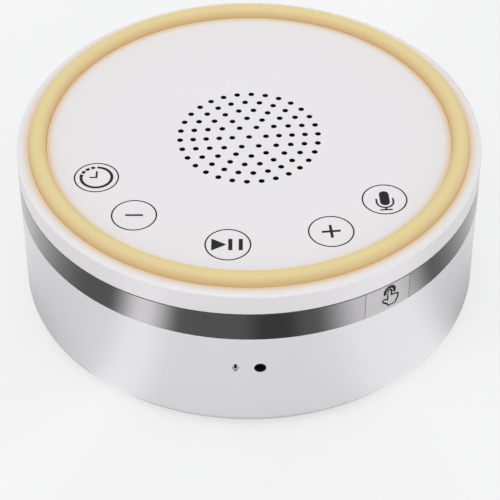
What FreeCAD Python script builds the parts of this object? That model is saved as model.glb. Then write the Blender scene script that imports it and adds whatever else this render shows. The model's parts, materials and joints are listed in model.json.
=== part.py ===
import FreeCAD, Part
import math
import os

# White noise sound machine: a round, flat case that stands on a table.
# Millimetres. +Z is up, the origin is the middle of the plane that the feet
# stand on, and -Y is the front, with the keys and the microphone hole.

# Case
body_radius = 60.0
housing_height = 29.3
housing_wall = 3.0
base_round = 2.2
cover_edge_height = 5.9
panel_thickness = 2.2
shoulder_round = 0.7
shadow_gap = 0.3
fit_gap = 0.1

# Trim band and its touch plate
band_height = 8.2
band_thickness = 1.2
touch_start_deg = -61.8
touch_end_deg = -49.0
touch_seam_deg = 0.12
contact_width = 5.0
contact_height = 3.6
contact_thickness = 0.4

# Light ring, its groove and its lamps
rim_land = 3.1
ring_width = 4.5
ring_proud = 2.6
ring_gap = 0.05
groove_depth = 3.0
groove_floor = 1.4
groove_wall = 1.4
ring_channel_width = 2.2
ring_channel_depth = 1.4
ring_peg_radius = 1.0
ring_peg_count = 6
ring_peg_length = 2.0
lamp_count = 24
lamp_width = 3.0
lamp_height = 0.9
lamp_window_radius = 1.6
lamp_board_width = 5.0
lamp_inset = 0.6
lamp_board_thickness = 1.0
lamp_board_drop = 1.0
tongue_depth = 4.0
tongue_wall = 1.0

# Keys: each is named with the direction of its centre, in degrees from +X
key_angles = {"timer": -157.2, "minus": -132.9, "play": -97.1, "plus": -61.2, "microphone": -36.1}
key_radius = 5.5
key_gap = 0.25
key_to_groove = 4.65
key_flange_overlap = 0.6
key_flange_thickness = 1.2
key_edge_round = 0.2
key_stem_radius = 2.2
key_stem_reserve = 0.95
key_travel = 0.8
key_running_gap = 0.05
dome_height = 2.2
dome_wall = 0.5
dome_radius = 4.0
key_board_margin = 0.15
key_board_thickness = 1.6
key_board_start_deg = -177.0
key_board_end_deg = -16.0
key_post_radius = 2.2
key_post_angles = (-172.0, -115.0, -21.0)

# Speaker grille
grille_rings = 5
grille_first_radius = 4.37
grille_pitch = 3.38
grille_hole_radius = 0.78
grille_phase_deg = 4.2
cloth_thickness = 0.2
cloth_margin = 2.2

# Loudspeaker
gasket_margin = 1.6
cone_swing = 1.0
cone_clearance = 0.8
speaker_flange_width = 4.6
speaker_sheet = 1.0
basket_depth = 13.0
basket_foot_radius = 15.0
basket_windows = 4
basket_window_deg = 58.0
top_plate_thickness = 2.0
magnet_thickness = 6.0
magnet_radius = 16.0
magnet_bore = 8.6
yoke_thickness = 2.0
pole_radius = 5.6
coil_gap = 0.5
coil_wall = 0.4
coil_length = 8.0
coil_depth = 1.5
cone_wall = 0.4
dust_cap_rise = 2.4
surround_width = 2.4
surround_rise = 1.1
surround_wall = 0.3
spider_wall = 0.3
spider_height = 1.2
speaker_post_radius = 2.6
speaker_post_inset = 1.5
speaker_screw_angles = (20.0, 110.0, 200.0, 290.0)
speaker_ear_radius = 3.4

# Base plate, feet and case screws
base_rim = 5.0
base_plate_thickness = 2.2
base_ledge = 2.6
base_ledge_thickness = 2.0
foot_proud = 1.3
foot_recess = 0.9
foot_radius = 7.0
case_screw_angles = (-79.0, 0.0, 70.0, 110.0, 180.0)
case_boss_margin = 1.9
case_post_radius = 4.5
case_post_height = 15.0
case_well_radius = 3.2
case_well_depth = 9.0
case_boss_radius = 3.6
case_screw_length = 16.0
screw_radius = 1.5
screw_head_radius = 2.8
screw_head_height = 1.8
screw_clearance = 0.2
thread_clearance = 0.03
small_screw_radius = 1.0
small_screw_head_radius = 1.8
small_screw_head_height = 1.1
small_screw_length = 4.4
driver_slot_width = 0.6
driver_slot_depth = 0.5

# Battery
cell_radius = 7.1
cell_length = 50.0
cell_cap_radius = 2.8
cell_cap_height = 1.0
cell_gap = 1.6
saddle_wall = 1.8
saddle_width = 8.0
saddle_spread = 26.0
saddle_drop = 1.5
saddle_lift = 1.6
strap_width = 5.0
strap_thickness = 0.5

# Main board
board_length = 66.0
board_width = 38.0
board_thickness = 1.6
board_front_gap = 19.5
board_corner = 3.0
board_standoff = 3.4
board_standoff_radius = 2.6
board_hole_inset = 3.4
chip_height = 1.6
chip_bevel = 0.2
chip_sizes = ((9.0, 9.0), (6.0, 5.0), (5.0, 4.0), (7.0, 4.0))
chip_places = ((-8.0, -4.0), (9.0, -3.0), (-8.0, 9.0), (6.0, 8.0))
capacitor_radius = 2.5
capacitor_height = 7.0
capacitor_places = ((-24.0, 4.0), (-24.0, -3.5), (24.0, 4.5))
plug_width = 7.5
plug_depth = 4.6
plug_height = 5.2
plug_pitch = 14.0
plug_edge_gap = 1.0

# Power socket in the back wall
socket_width = 9.0
socket_height = 3.3
socket_depth = 7.4
socket_wall = 0.35
socket_z = 9.0
socket_gap = 0.15
tongue_width = 6.7
tongue_length = 5.6
tongue_thickness = 0.7
socket_recess = 1.6
socket_recess_margin = 1.3
socket_board_width = 18.0
socket_board_depth = 12.0
socket_board_thickness = 1.2
shelf_width = 3.0

# Microphone behind the front wall
microphone_deg = -87.4
microphone_z = 20.8
microphone_hole_radius = 1.5
microphone_radius = 3.0
microphone_depth = 2.7
boot_wall = 1.2
boot_depth = 4.6
boot_lip = 1.0
boss_wall = 1.2
boss_depth = 4.0

# Cables
ribbon_thickness = 0.4
ribbon_slack = 0.15
ribbon_bend = 6.0
ribbon_edge_gap = 1.5
plug_wall = 0.8
wire_radius = 0.5
wire_bend = 3.0
wire_pitch = 1.4
wire_rise = 6.0
battery_lead_run = 4.5
battery_lead_slope = 12.0
battery_lead_edge_gap = 3.0
speaker_lead_gap = 0.7
speaker_lead_run = 8.0
lamp_lead_deg = -12.0
lamp_lead_edge_gap = 2.5
microphone_lead_run = 6.0
microphone_lead_drop = 2.0

# Heights that follow from the sizes above
housing_bottom = foot_proud
band_bottom = housing_bottom + housing_height
band_top = band_bottom + band_height
cover_bottom = band_top + shadow_gap
top = cover_bottom + cover_edge_height
panel_bottom = top - panel_thickness
groove_bottom = top - groove_depth
groove_underside = groove_bottom - groove_floor
lamp_board_top = groove_underside - lamp_board_drop
key_flange_bottom = panel_bottom - key_running_gap - key_flange_thickness
key_board_top = key_flange_bottom - key_travel - key_stem_reserve - dome_height
key_board_bottom = key_board_top - key_board_thickness
base_plate_top = housing_bottom + base_plate_thickness
flange_top = panel_bottom - cloth_thickness - cone_swing - cone_clearance - surround_wall
flange_bottom = flange_top - speaker_sheet
basket_bottom = flange_bottom - basket_depth
magnet_top = basket_bottom - top_plate_thickness
magnet_bottom = magnet_top - magnet_thickness
yoke_bottom = magnet_bottom - yoke_thickness
cell_height = base_plate_top + saddle_lift + cell_radius
board_top = base_plate_top + board_standoff + board_thickness
post_top = base_plate_top + case_post_height
well_top = housing_bottom + case_well_depth

# Radii that follow from the sizes above
housing_bore = body_radius - housing_wall
band_seat = body_radius - band_thickness - fit_gap
tongue_outer = housing_bore - fit_gap
tongue_inner = tongue_outer - tongue_wall
groove_outer = body_radius - rim_land
ring_outer = groove_outer - ring_gap
ring_inner = ring_outer - ring_width
groove_inner = ring_inner - ring_gap
ring_middle = (ring_outer + ring_inner) / 2
lamp_circle = ring_middle - lamp_inset
lamp_board_inner = lamp_circle - lamp_board_width / 2
lamp_board_outer = min(lamp_circle + lamp_board_width / 2, tongue_inner - fit_gap)
key_opening = key_radius + key_gap
key_circle = groove_inner - key_to_groove - key_opening
key_flange = key_opening + key_flange_overlap
key_board_inner = key_circle - key_flange - key_board_margin
key_board_outer = key_circle + key_flange + key_board_margin
grille_radius = grille_first_radius + (grille_rings - 1) * grille_pitch + grille_hole_radius
speaker_opening = grille_radius + gasket_margin
speaker_radius = speaker_opening + speaker_flange_width
coil_inner = pole_radius + coil_gap
coil_outer = coil_inner + coil_wall
cone_outer = speaker_opening - surround_width
speaker_screw_circle = speaker_radius + speaker_post_inset
base_plate_radius = body_radius - base_rim
case_screw_circle = lamp_board_inner - case_boss_margin - case_boss_radius
gasket_outer = min(speaker_radius, speaker_screw_circle - speaker_post_radius) - fit_gap

cell_y = magnet_radius + cell_gap + cell_radius
board_y = board_width / 2 + board_front_gap - housing_bore
plug_y = board_y - board_width / 2 + plug_edge_gap + plug_depth / 2
lamp_angles = [360.0 * i / lamp_count for i in range(lamp_count)]
peg_angles = [360.0 / lamp_count * (0.5 + i * (lamp_count // ring_peg_count)) for i in range(ring_peg_count)]


def at(radius, degrees, z):
    """Point at a radius and a direction about the case's axis."""
    a = math.radians(degrees)
    return FreeCAD.Vector(radius * math.cos(a), radius * math.sin(a), z)


def turned(start, *steps):
    """Solid of revolution about Z. A step is (r, z) for a straight side, or
    (mid_r, mid_z, r, z) for an arc through the middle point."""
    points = [FreeCAD.Vector(start[0], 0, start[1])]
    edges = []
    for step in steps + (start,):
        here = points[-1]
        there = FreeCAD.Vector(step[-2], 0, step[-1])
        if len(step) == 4:
            middle = FreeCAD.Vector(step[0], 0, step[1])
            edges.append(Part.Arc(here, middle, there).toShape())
        elif here.distanceToPoint(there) > 1e-6:
            edges.append(Part.LineSegment(here, there).toShape())
        points.append(there)
    face = Part.Face(Part.Wire(edges))
    return face.revolve(FreeCAD.Vector(0, 0, 0), FreeCAD.Vector(0, 0, 1), 360)


def rod(radius, z_low, z_high, centre=FreeCAD.Vector(0, 0, 0)):
    """Upright cylinder between two heights."""
    return Part.makeCylinder(radius, z_high - z_low, FreeCAD.Vector(centre.x, centre.y, z_low))


def tube(outer, inner, z_low, z_high, centre=FreeCAD.Vector(0, 0, 0)):
    """Upright ring between two heights."""
    return rod(outer, z_low, z_high, centre).cut(rod(inner, z_low - 1, z_high + 1, centre))


def sector(inner, outer, z_low, z_high, start_deg, end_deg):
    """Part of a ring, from one direction to another."""
    whole = Part.makeCylinder(outer, z_high - z_low, FreeCAD.Vector(0, 0, z_low),
                              FreeCAD.Vector(0, 0, 1), end_deg - start_deg)
    whole.rotate(FreeCAD.Vector(0, 0, 0), FreeCAD.Vector(0, 0, 1), start_deg)
    return whole.cut(rod(inner, z_low - 1, z_high + 1))


def block(x_low, x_high, y_low, y_high, z_low, z_high):
    """Box between two corners."""
    return Part.makeBox(x_high - x_low, y_high - y_low, z_high - z_low,
                        FreeCAD.Vector(x_low, y_low, z_low))


def rounded_bar(width, height, y_low, y_high, z_middle):
    """Bar along Y with half-round ends left and right."""
    end = height / 2
    side = width / 2 - end
    bar = block(-side, side, y_low, y_high, z_middle - end, z_middle + end)
    for x in (-side, side):
        bar = bar.fuse(Part.makeCylinder(end, y_high - y_low, FreeCAD.Vector(x, y_low, z_middle),
                                         FreeCAD.Vector(0, 1, 0)))
    return bar.removeSplitter()


def screw(radius, length, head_radius, head_height, seat, up=True):
    """Cross-head screw whose head seats at the given point."""
    sign = 1 if up else -1
    z_tip = seat.z + sign * length
    z_head = seat.z - sign * head_height
    z_slot = z_head + sign * driver_slot_depth
    body = rod(radius, min(seat.z, z_tip), max(seat.z, z_tip), seat)
    body = body.fuse(rod(head_radius, min(seat.z, z_head), max(seat.z, z_head), seat))
    half = head_radius * 0.6
    thin = driver_slot_width / 2
    low = min(z_head, z_slot)
    high = max(z_head, z_slot)
    for wide, deep in ((half, thin), (thin, half)):
        body = body.cut(block(seat.x - wide, seat.x + wide, seat.y - deep, seat.y + deep, low, high))
    return body.removeSplitter()


def group(solids):
    """Separate like solids that share one node."""
    return Part.makeCompound(solids)


def joined(first, others):
    """One solid from a body and what is moulded on it."""
    whole = first
    for other in others:
        whole = whole.fuse(other)
    return whole.removeSplitter()


def facing(shape, degrees):
    """Turns a shape that was built on +X to a direction about the axis."""
    turned_shape = shape.copy()
    turned_shape.rotate(FreeCAD.Vector(0, 0, 0), FreeCAD.Vector(0, 0, 1), degrees)
    return turned_shape


def grille_centres():
    """Hole centres: one in the middle and five rings round it."""
    centres = [FreeCAD.Vector(0, 0, 0)]
    for ring in range(grille_rings):
        count = 6 * (ring + 1)
        radius = grille_first_radius + ring * grille_pitch
        for i in range(count):
            centres.append(at(radius, grille_phase_deg + 360.0 * i / count, 0))
    return centres


def screw_bore(radius):
    """Bore that a screw turns into."""
    return radius + thread_clearance


def cover_posts():
    """Posts under the panel that carry the key board, the speaker and the case screws."""
    posts = []
    for angle in key_post_angles:
        posts.append(rod(key_post_radius, key_board_top, panel_bottom, at(key_circle, angle, 0)))
    for angle in speaker_screw_angles:
        posts.append(rod(speaker_post_radius, flange_top, panel_bottom, at(speaker_screw_circle, angle, 0)))
    for angle in case_screw_angles:
        posts.append(rod(case_boss_radius, post_top, panel_bottom, at(case_screw_circle, angle, 0)))
    return posts


def top_cover():
    """Cover: grille, key openings, groove for the light ring, and a tongue into the housing."""
    r = shoulder_round
    lean = r * math.sqrt(0.5)
    cover = turned(
        (0, panel_bottom),
        (groove_inner - groove_wall, panel_bottom),
        (groove_inner - groove_wall, groove_underside),
        (tongue_inner, groove_underside),
        (tongue_inner, cover_bottom - tongue_depth),
        (tongue_outer, cover_bottom - tongue_depth),
        (tongue_outer, cover_bottom),
        (body_radius, cover_bottom),
        (body_radius, top - r),
        (body_radius - r + lean, top - r + lean, body_radius - r, top),
        (groove_outer, top),
        (groove_outer, groove_bottom),
        (groove_inner, groove_bottom),
        (groove_inner, top),
        (0, top),
    )
    cover = joined(cover, cover_posts())
    cuts = [rod(grille_hole_radius, panel_bottom - 1, top + 1, c) for c in grille_centres()]
    for angle in key_angles.values():
        cuts.append(rod(key_opening, panel_bottom - 1, top + 1, at(key_circle, angle, 0)))
    for angle in lamp_angles:
        centre = at(lamp_circle, angle, 0)
        cuts.append(rod(lamp_window_radius, groove_underside - 1, groove_bottom + 1, centre))
    for angle in peg_angles:
        centre = at(ring_middle, angle, 0)
        cuts.append(rod(ring_peg_radius + fit_gap, groove_underside - 1, groove_bottom + 1, centre))
    small = screw_bore(small_screw_radius)
    for angle in key_post_angles:
        top_of_bore = key_board_bottom + small_screw_length + fit_gap
        cuts.append(rod(small, key_board_top - 1, top_of_bore, at(key_circle, angle, 0)))
    for angle in speaker_screw_angles:
        top_of_bore = min(flange_bottom + small_screw_length, panel_bottom) + fit_gap
        cuts.append(rod(small, flange_top - 1, top_of_bore, at(speaker_screw_circle, angle, 0)))
    for angle in case_screw_angles:
        top_of_bore = well_top + case_screw_length + fit_gap
        cuts.append(rod(screw_bore(screw_radius), post_top - 1, top_of_bore, at(case_screw_circle, angle, 0)))
    return cover.cut(Part.makeCompound(cuts))


def light_ring():
    """Frosted ring: half round above the panel, with a channel below for the lamps."""
    half_channel = ring_channel_width / 2
    ring = turned(
        (ring_inner, groove_bottom),
        (ring_middle - half_channel, groove_bottom),
        (ring_middle - half_channel, groove_bottom + ring_channel_depth),
        (ring_middle + half_channel, groove_bottom + ring_channel_depth),
        (ring_middle + half_channel, groove_bottom),
        (ring_outer, groove_bottom),
        (ring_outer, top),
        (ring_middle, top + ring_proud, ring_inner, top),
    )
    peg_low = groove_bottom - ring_peg_length
    pegs = [rod(ring_peg_radius, peg_low, groove_bottom + ring_channel_depth, at(ring_middle, angle, 0))
            for angle in peg_angles]
    return joined(ring, pegs)


def lamp_board():
    """Ring of circuit board under the lamp windows."""
    z_low = lamp_board_top - lamp_board_thickness
    return tube(lamp_board_outer, lamp_board_inner, z_low, lamp_board_top)


def lamps():
    """Light-emitting diodes on the lamp board."""
    half = lamp_width / 2
    solids = []
    for angle in lamp_angles:
        lamp = block(lamp_circle - half, lamp_circle + half, -half, half,
                     lamp_board_top, lamp_board_top + lamp_height)
        solids.append(facing(lamp, angle))
    return group(solids)


def key(name):
    """Key cap with a flange that stops under the panel and a stem that presses its dome."""
    centre = at(key_circle, key_angles[name], 0)
    cap = rod(key_radius, key_flange_bottom, top, centre)
    rim = [e for e in cap.Edges if abs(e.BoundBox.ZMin - top) < 1e-6 and e.BoundBox.ZLength < 1e-6]
    cap = cap.makeFillet(key_edge_round, rim)
    flange = rod(key_flange, key_flange_bottom, key_flange_bottom + key_flange_thickness, centre)
    stem = rod(key_stem_radius, key_board_top + dome_height, key_flange_bottom, centre)
    return joined(cap, [flange, stem])


def dome(name):
    """Silicone dome that a key presses and that pushes it back."""
    c = at(key_circle, key_angles[name], 0)
    low = key_board_top
    high = key_board_top + dome_height
    neck = key_stem_radius + dome_wall
    outer = turned((0, low), (dome_radius, low), (dome_radius, low + dome_wall),
                   (neck + dome_wall, low + dome_wall), (neck, high), (0, high))
    hollow = turned((0, low), (neck - dome_wall / 2, low), (key_stem_radius, high - dome_wall * 1.4),
                    (0, high - dome_wall * 1.4))
    shell = outer.cut(hollow)
    shell.translate(FreeCAD.Vector(c.x, c.y, 0))
    return shell


def key_board():
    """Crescent of circuit board below the keys."""
    board = sector(key_board_inner, key_board_outer, key_board_bottom, key_board_top,
                   key_board_start_deg, key_board_end_deg)
    for angle in key_post_angles:
        board = board.cut(rod(small_screw_radius + screw_clearance, key_board_bottom - 1, key_board_top + 1,
                              at(key_circle, angle, 0)))
    for angle in case_screw_angles:
        board = board.cut(rod(case_boss_radius + screw_clearance, key_board_bottom - 1, key_board_top + 1,
                              at(case_screw_circle, angle, 0)))
    return board


def key_board_screws():
    """Screws that hold the key board to the cover."""
    return group([screw(small_screw_radius, small_screw_length, small_screw_head_radius,
                        small_screw_head_height, at(key_circle, angle, key_board_bottom))
                  for angle in key_post_angles])


def grille_cloth():
    """Thin acoustic cloth behind the grille holes."""
    return rod(grille_radius + cloth_margin, panel_bottom - cloth_thickness, panel_bottom)


def speaker_gasket():
    """Foam ring between the cover and the speaker, with a step for the cloth."""
    low = flange_top + surround_wall
    inner = speaker_opening + surround_wall
    step = max(grille_radius + cloth_margin, inner) + fit_gap
    lower = tube(gasket_outer, inner, low, panel_bottom - cloth_thickness)
    return joined(lower, [tube(gasket_outer, step, low, panel_bottom)])


def speaker_frame():
    """Pressed frame: a flange with four ears, a windowed cone and a flat foot."""
    t = speaker_sheet
    frame = turned(
        (coil_outer + coil_gap + 1.5, basket_bottom),
        (basket_foot_radius, basket_bottom),
        (speaker_opening + t, flange_bottom),
        (speaker_radius, flange_bottom),
        (speaker_radius, flange_top),
        (speaker_opening, flange_top),
        (basket_foot_radius - t * 0.6, basket_bottom + t),
        (coil_outer + coil_gap + 1.5, basket_bottom + t),
    )
    ears = [rod(speaker_ear_radius, flange_bottom, flange_top, at(speaker_screw_circle, angle, 0))
            for angle in speaker_screw_angles]
    frame = joined(frame, ears)
    step = 360.0 / basket_windows
    low = basket_bottom + 2.2 * t
    high = flange_bottom - 1.2 * t
    for i in range(basket_windows):
        start = step * i - basket_window_deg / 2
        frame = frame.cut(sector(1.0, speaker_radius * 2, low, high, start, start + basket_window_deg))
    for angle in speaker_screw_angles:
        frame = frame.cut(rod(small_screw_radius + screw_clearance, flange_bottom - 1, flange_top + 1,
                              at(speaker_screw_circle, angle, 0)))
    return frame


def speaker_screws():
    """Screws that hold the speaker to the cover."""
    length = min(small_screw_length, panel_bottom - flange_bottom)
    return group([screw(small_screw_radius, length, small_screw_head_radius,
                        small_screw_head_height, at(speaker_screw_circle, angle, flange_bottom))
                  for angle in speaker_screw_angles])


def speaker_top_plate():
    """Steel washer between the frame and the magnet, with the coil's gap inside it."""
    return tube(magnet_radius - 1.0, coil_outer + coil_gap, magnet_top, basket_bottom)


def speaker_magnet():
    """Ferrite ring."""
    return tube(magnet_radius, magnet_bore, magnet_bottom, magnet_top)


def speaker_yoke():
    """Steel back plate with the pole that the coil moves round."""
    plate = rod(magnet_radius - 1.0, yoke_bottom, magnet_bottom)
    return joined(plate, [rod(pole_radius, magnet_bottom, basket_bottom)])


def voice_coil():
    """Coil on its former, in the gap between the pole and the top plate."""
    low = magnet_top - coil_depth
    return tube(coil_outer, coil_inner, low, low + coil_length)


def cone_heights():
    """Heights at which the cone meets the coil and the surround."""
    return magnet_top - coil_depth + coil_length, flange_top


def speaker_cone():
    """Paper cone from the coil to the surround."""
    low, high = cone_heights()
    wall = cone_wall
    return turned((coil_outer, low - wall), (coil_outer + wall, low - wall), (cone_outer, high - wall),
                  (cone_outer, high), (cone_outer - wall, high), (coil_outer, low))


def dust_cap():
    """Small domed shell that closes the coil, seated on its rim."""
    low, _ = cone_heights()
    edge = coil_outer
    ball = (edge ** 2 + dust_cap_rise ** 2) / (2 * dust_cap_rise)
    middle = FreeCAD.Vector(0, 0, low + dust_cap_rise - ball)
    shell = Part.makeSphere(ball, middle).cut(Part.makeSphere(ball - cone_wall, middle))
    return shell.common(rod(body_radius, low, top))


def speaker_surround():
    """Half-round roll between the cone and the frame's flange."""
    _, seat = cone_heights()
    t = surround_wall
    inner = cone_outer - 1.2
    roll_in = cone_outer
    roll_out = speaker_opening
    middle = (roll_in + roll_out) / 2
    return turned((inner, seat), (roll_in, seat), (middle, seat + surround_rise - t, roll_out, seat),
                  (gasket_outer, seat), (gasket_outer, seat + t), (roll_out + t / 2, seat + t),
                  (middle, seat + surround_rise, roll_in - t / 2, seat + t), (inner, seat + t))


def speaker_spider():
    """Ribbed disc that centres the coil above the magnet."""
    inner = coil_outer + 0.05
    outer = basket_foot_radius - speaker_sheet - 0.3
    low = basket_bottom + speaker_sheet
    t = spider_wall
    ribs = 3
    step = (outer - inner - 1.0) / (2 * ribs)
    upper = [(inner, low + spider_height)]
    for i in range(2 * ribs):
        r = inner + step * (i + 1)
        upper.append((r, low + spider_height - (t if i % 2 == 0 else 0)))
    upper.append((outer, low + t))
    lower = [(outer, low), (outer - 0.6, low)]
    for i in reversed(range(2 * ribs)):
        r = inner + step * (i + 1)
        lower.append((r, low + spider_height - t - (t if i % 2 == 0 else 0)))
    lower.append((inner, low + spider_height - t))
    return turned(upper[0], *(upper[1:] + lower))


def trim_band():
    """Bright band round the case, open where the touch plate lies."""
    ring = tube(body_radius, band_seat + fit_gap, band_bottom, band_top)
    return ring.cut(sector(band_seat - 1, body_radius + 1, band_bottom - 1, band_top + 1,
                           touch_start_deg - touch_seam_deg, touch_end_deg + touch_seam_deg))


def touch_plate():
    """Touch-sensitive metal plate that closes the band."""
    return sector(band_seat + fit_gap, body_radius, band_bottom, band_top, touch_start_deg, touch_end_deg)


def contact_middle():
    """Direction and height of the middle of the contact spring."""
    return (touch_start_deg + touch_end_deg) / 2, (band_bottom + cover_bottom - tongue_depth) / 2


def touch_contact():
    """Spring strip that reaches through the housing to the back of the touch plate."""
    angle, z = contact_middle()
    half = contact_width / 2 - fit_gap
    low = z - contact_height / 2
    t = contact_thickness
    pad_face = math.sqrt((body_radius - band_thickness) ** 2 - half ** 2) - key_running_gap
    heel_face = math.sqrt(housing_bore ** 2 - half ** 2) - key_running_gap
    pad = block(pad_face - t, pad_face, -half, half, low, low + contact_height)
    arm = block(heel_face - t, pad_face, -half, half, low, low + t)
    heel = block(heel_face - t, heel_face, -half, half, low - contact_height, low + t)
    return facing(joined(pad, [arm, heel]), angle)


def contact_window():
    """Opening in the housing for the contact spring."""
    angle, z = contact_middle()
    half = contact_width / 2
    window = block(housing_bore - 1, body_radius, -half, half,
                   z - contact_height / 2 - fit_gap, z + contact_height / 2 + fit_gap)
    return facing(window, angle).common(rod(band_seat + 0.5, band_bottom, band_top))


def microphone_axis(shape):
    """Turns a shape built along +X at the microphone's height to its place in the wall."""
    placed = shape.copy()
    placed.translate(FreeCAD.Vector(0, 0, microphone_z))
    placed.rotate(FreeCAD.Vector(0, 0, 0), FreeCAD.Vector(0, 0, 1), microphone_deg)
    return placed


def lying(radius, x_low, x_high):
    """Cylinder along X on the case's axis height 0."""
    return Part.makeCylinder(radius, x_high - x_low, FreeCAD.Vector(x_low, 0, 0), FreeCAD.Vector(1, 0, 0))


def microphone_seat():
    """Distance from the case's axis to the flat seat inside the microphone's boss."""
    reach = microphone_radius + boot_wall
    return math.sqrt(housing_bore ** 2 - reach ** 2) - 0.1


def lower_housing():
    """Housing: outer wall, step for the band, ledge for the base plate, microphone boss, socket opening."""
    b = base_round
    lean = b * math.sqrt(0.5)
    ledge_low = base_plate_top
    ledge_high = ledge_low + base_ledge_thickness
    bore = base_plate_radius + fit_gap
    shell = turned(
        (bore, housing_bottom),
        (body_radius - b, housing_bottom),
        (body_radius - b + lean, housing_bottom + b - lean, body_radius, housing_bottom + b),
        (body_radius, band_bottom),
        (band_seat, band_bottom),
        (band_seat, cover_bottom),
        (housing_bore, cover_bottom),
        (housing_bore, ledge_high),
        (bore - base_ledge, ledge_high),
        (bore - base_ledge, ledge_low),
        (bore, ledge_low),
    )
    seat = microphone_seat()
    outer = microphone_radius + boot_wall + fit_gap / 2 + boss_wall
    inner = microphone_radius + boot_wall + fit_gap / 2
    boss = microphone_axis(lying(outer, seat - boss_depth, housing_bore + 1))
    shell = shell.fuse(boss.common(rod(housing_bore + 0.5, 0, band_bottom))).removeSplitter()
    shell = shell.cut(microphone_axis(lying(inner, seat - boss_depth - 1, seat)))
    shell = shell.cut(microphone_axis(lying(microphone_hole_radius, seat - 1, body_radius + 1)))
    shell = shell.cut(contact_window())
    mouth = rounded_bar(socket_width + 2 * socket_gap, socket_height + 2 * socket_gap,
                        housing_bore - 4, body_radius + 1, socket_z)
    recess = rounded_bar(socket_width + 2 * socket_recess_margin, socket_height + 2 * socket_recess_margin,
                         body_radius - socket_recess, body_radius + 1, socket_z)
    return shell.cut(mouth).cut(recess)


def microphone_boot():
    """Rubber sleeve that seals the microphone to its hole."""
    seat = microphone_seat()
    outer = microphone_radius + boot_wall
    sleeve = lying(outer, seat - boot_depth, seat)
    sleeve = sleeve.cut(lying(microphone_radius + thread_clearance, seat - boot_depth - 1, seat - boot_lip))
    sleeve = sleeve.cut(lying(microphone_hole_radius, seat - 2, seat + 1))
    return microphone_axis(sleeve)


def microphone_capsule():
    """Electret microphone."""
    seat = microphone_seat() - boot_lip
    return microphone_axis(lying(microphone_radius, seat - microphone_depth, seat))


def base_plate():
    """Bottom of the case, with hollow posts for the case screws and saddles for the battery."""
    plate = rod(base_plate_radius, housing_bottom, base_plate_top)
    extras = []
    for angle in case_screw_angles:
        extras.append(rod(case_post_radius, housing_bottom, post_top, at(case_screw_circle, angle, 0)))
    for centre in board_holes():
        extras.append(rod(board_standoff_radius, housing_bottom, base_plate_top + board_standoff, centre))
    for x in (-saddle_spread / 2, saddle_spread / 2):
        reach = cell_radius + saddle_wall
        saddle = block(x - saddle_width / 2, x + saddle_width / 2, cell_y - reach, cell_y + reach,
                       housing_bottom, cell_height - saddle_drop)
        extras.append(saddle)
    shelf_top, _ = socket_shelf_heights()
    shelf_half = shelf_width / 2
    shelf_x = socket_board_width / 2 - shelf_half
    shelf_back = math.sqrt((base_plate_radius - base_ledge) ** 2 - (shelf_x + shelf_half) ** 2) - fit_gap
    for x in (-shelf_x, shelf_x):
        extras.append(block(x - shelf_half, x + shelf_half, socket_board_front(), shelf_back,
                            housing_bottom, shelf_top))
    plate = joined(plate, extras)
    cradle_end = FreeCAD.Vector(-saddle_spread, cell_y, cell_height)
    cradle = Part.makeCylinder(cell_radius + fit_gap, saddle_spread * 2, cradle_end, FreeCAD.Vector(1, 0, 0))
    plate = plate.cut(cradle)
    for x in (-saddle_spread / 2, saddle_spread / 2):
        plate = plate.cut(strap_loop(x, strap_thickness + 2 * fit_gap, strap_width + 2 * fit_gap))
    cuts = []
    for angle in case_screw_angles:
        centre = at(case_screw_circle, angle, 0)
        cuts.append(rod(foot_radius + fit_gap, housing_bottom - 1, housing_bottom + foot_recess, centre))
        cuts.append(rod(case_well_radius, housing_bottom - 1, well_top, centre))
        cuts.append(rod(screw_radius + screw_clearance, housing_bottom, post_top + 1, centre))
    for centre in board_holes():
        cuts.append(rod(screw_bore(small_screw_radius), board_top - small_screw_length - fit_gap,
                        base_plate_top + board_standoff + 1, centre))
    return plate.cut(Part.makeCompound(cuts))


def rubber_feet():
    """Soft feet that cover the screw wells."""
    return group([rod(foot_radius, 0, foot_proud + foot_recess, at(case_screw_circle, angle, 0))
                  for angle in case_screw_angles])


def case_screws():
    """Long screws that draw the base plate and the cover together round the housing."""
    return group([screw(screw_radius, case_screw_length, screw_head_radius, screw_head_height,
                        at(case_screw_circle, angle, well_top)) for angle in case_screw_angles])


def battery_cell():
    """Round rechargeable cell with its raised positive end."""
    z = cell_height
    half = cell_length / 2
    can = Part.makeCylinder(cell_radius, cell_length - cell_cap_height,
                            FreeCAD.Vector(-half, cell_y, z), FreeCAD.Vector(1, 0, 0))
    cap = Part.makeCylinder(cell_cap_radius, cell_cap_height,
                            FreeCAD.Vector(half - cell_cap_height, cell_y, z), FreeCAD.Vector(1, 0, 0))
    return joined(can, [cap])


def strap_loop(x, thickness, width):
    """Closed strap round the battery, in a groove of its saddle."""
    inner = cell_radius + key_running_gap
    start = FreeCAD.Vector(x - width / 2, cell_y, cell_height)
    along = FreeCAD.Vector(1, 0, 0)
    return Part.makeCylinder(inner + thickness, width, start, along).cut(
        Part.makeCylinder(inner, width, start, along))


def battery_straps():
    """Two straps that tie the cell to its saddles."""
    return group([strap_loop(x, strap_thickness, strap_width)
                  for x in (-saddle_spread / 2, saddle_spread / 2)])


def board_holes():
    """Centres of the main board's screws."""
    x = board_length / 2 - board_hole_inset
    y = board_width / 2 - board_hole_inset
    return [FreeCAD.Vector(i * x, board_y + j * y, 0) for i in (-1, 1) for j in (-1, 1)]


def main_board():
    """Circuit board with the sound player, the amplifier and the charger."""
    x = board_length / 2
    y = board_width / 2
    board = block(-x, x, board_y - y, board_y + y, board_top - board_thickness, board_top)
    upright = [e for e in board.Edges if e.BoundBox.ZLength > board_thickness / 2]
    board = board.makeFillet(board_corner, upright)
    for centre in board_holes():
        board = board.cut(rod(small_screw_radius + screw_clearance, 0, board_top + 1, centre))
    return board


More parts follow.
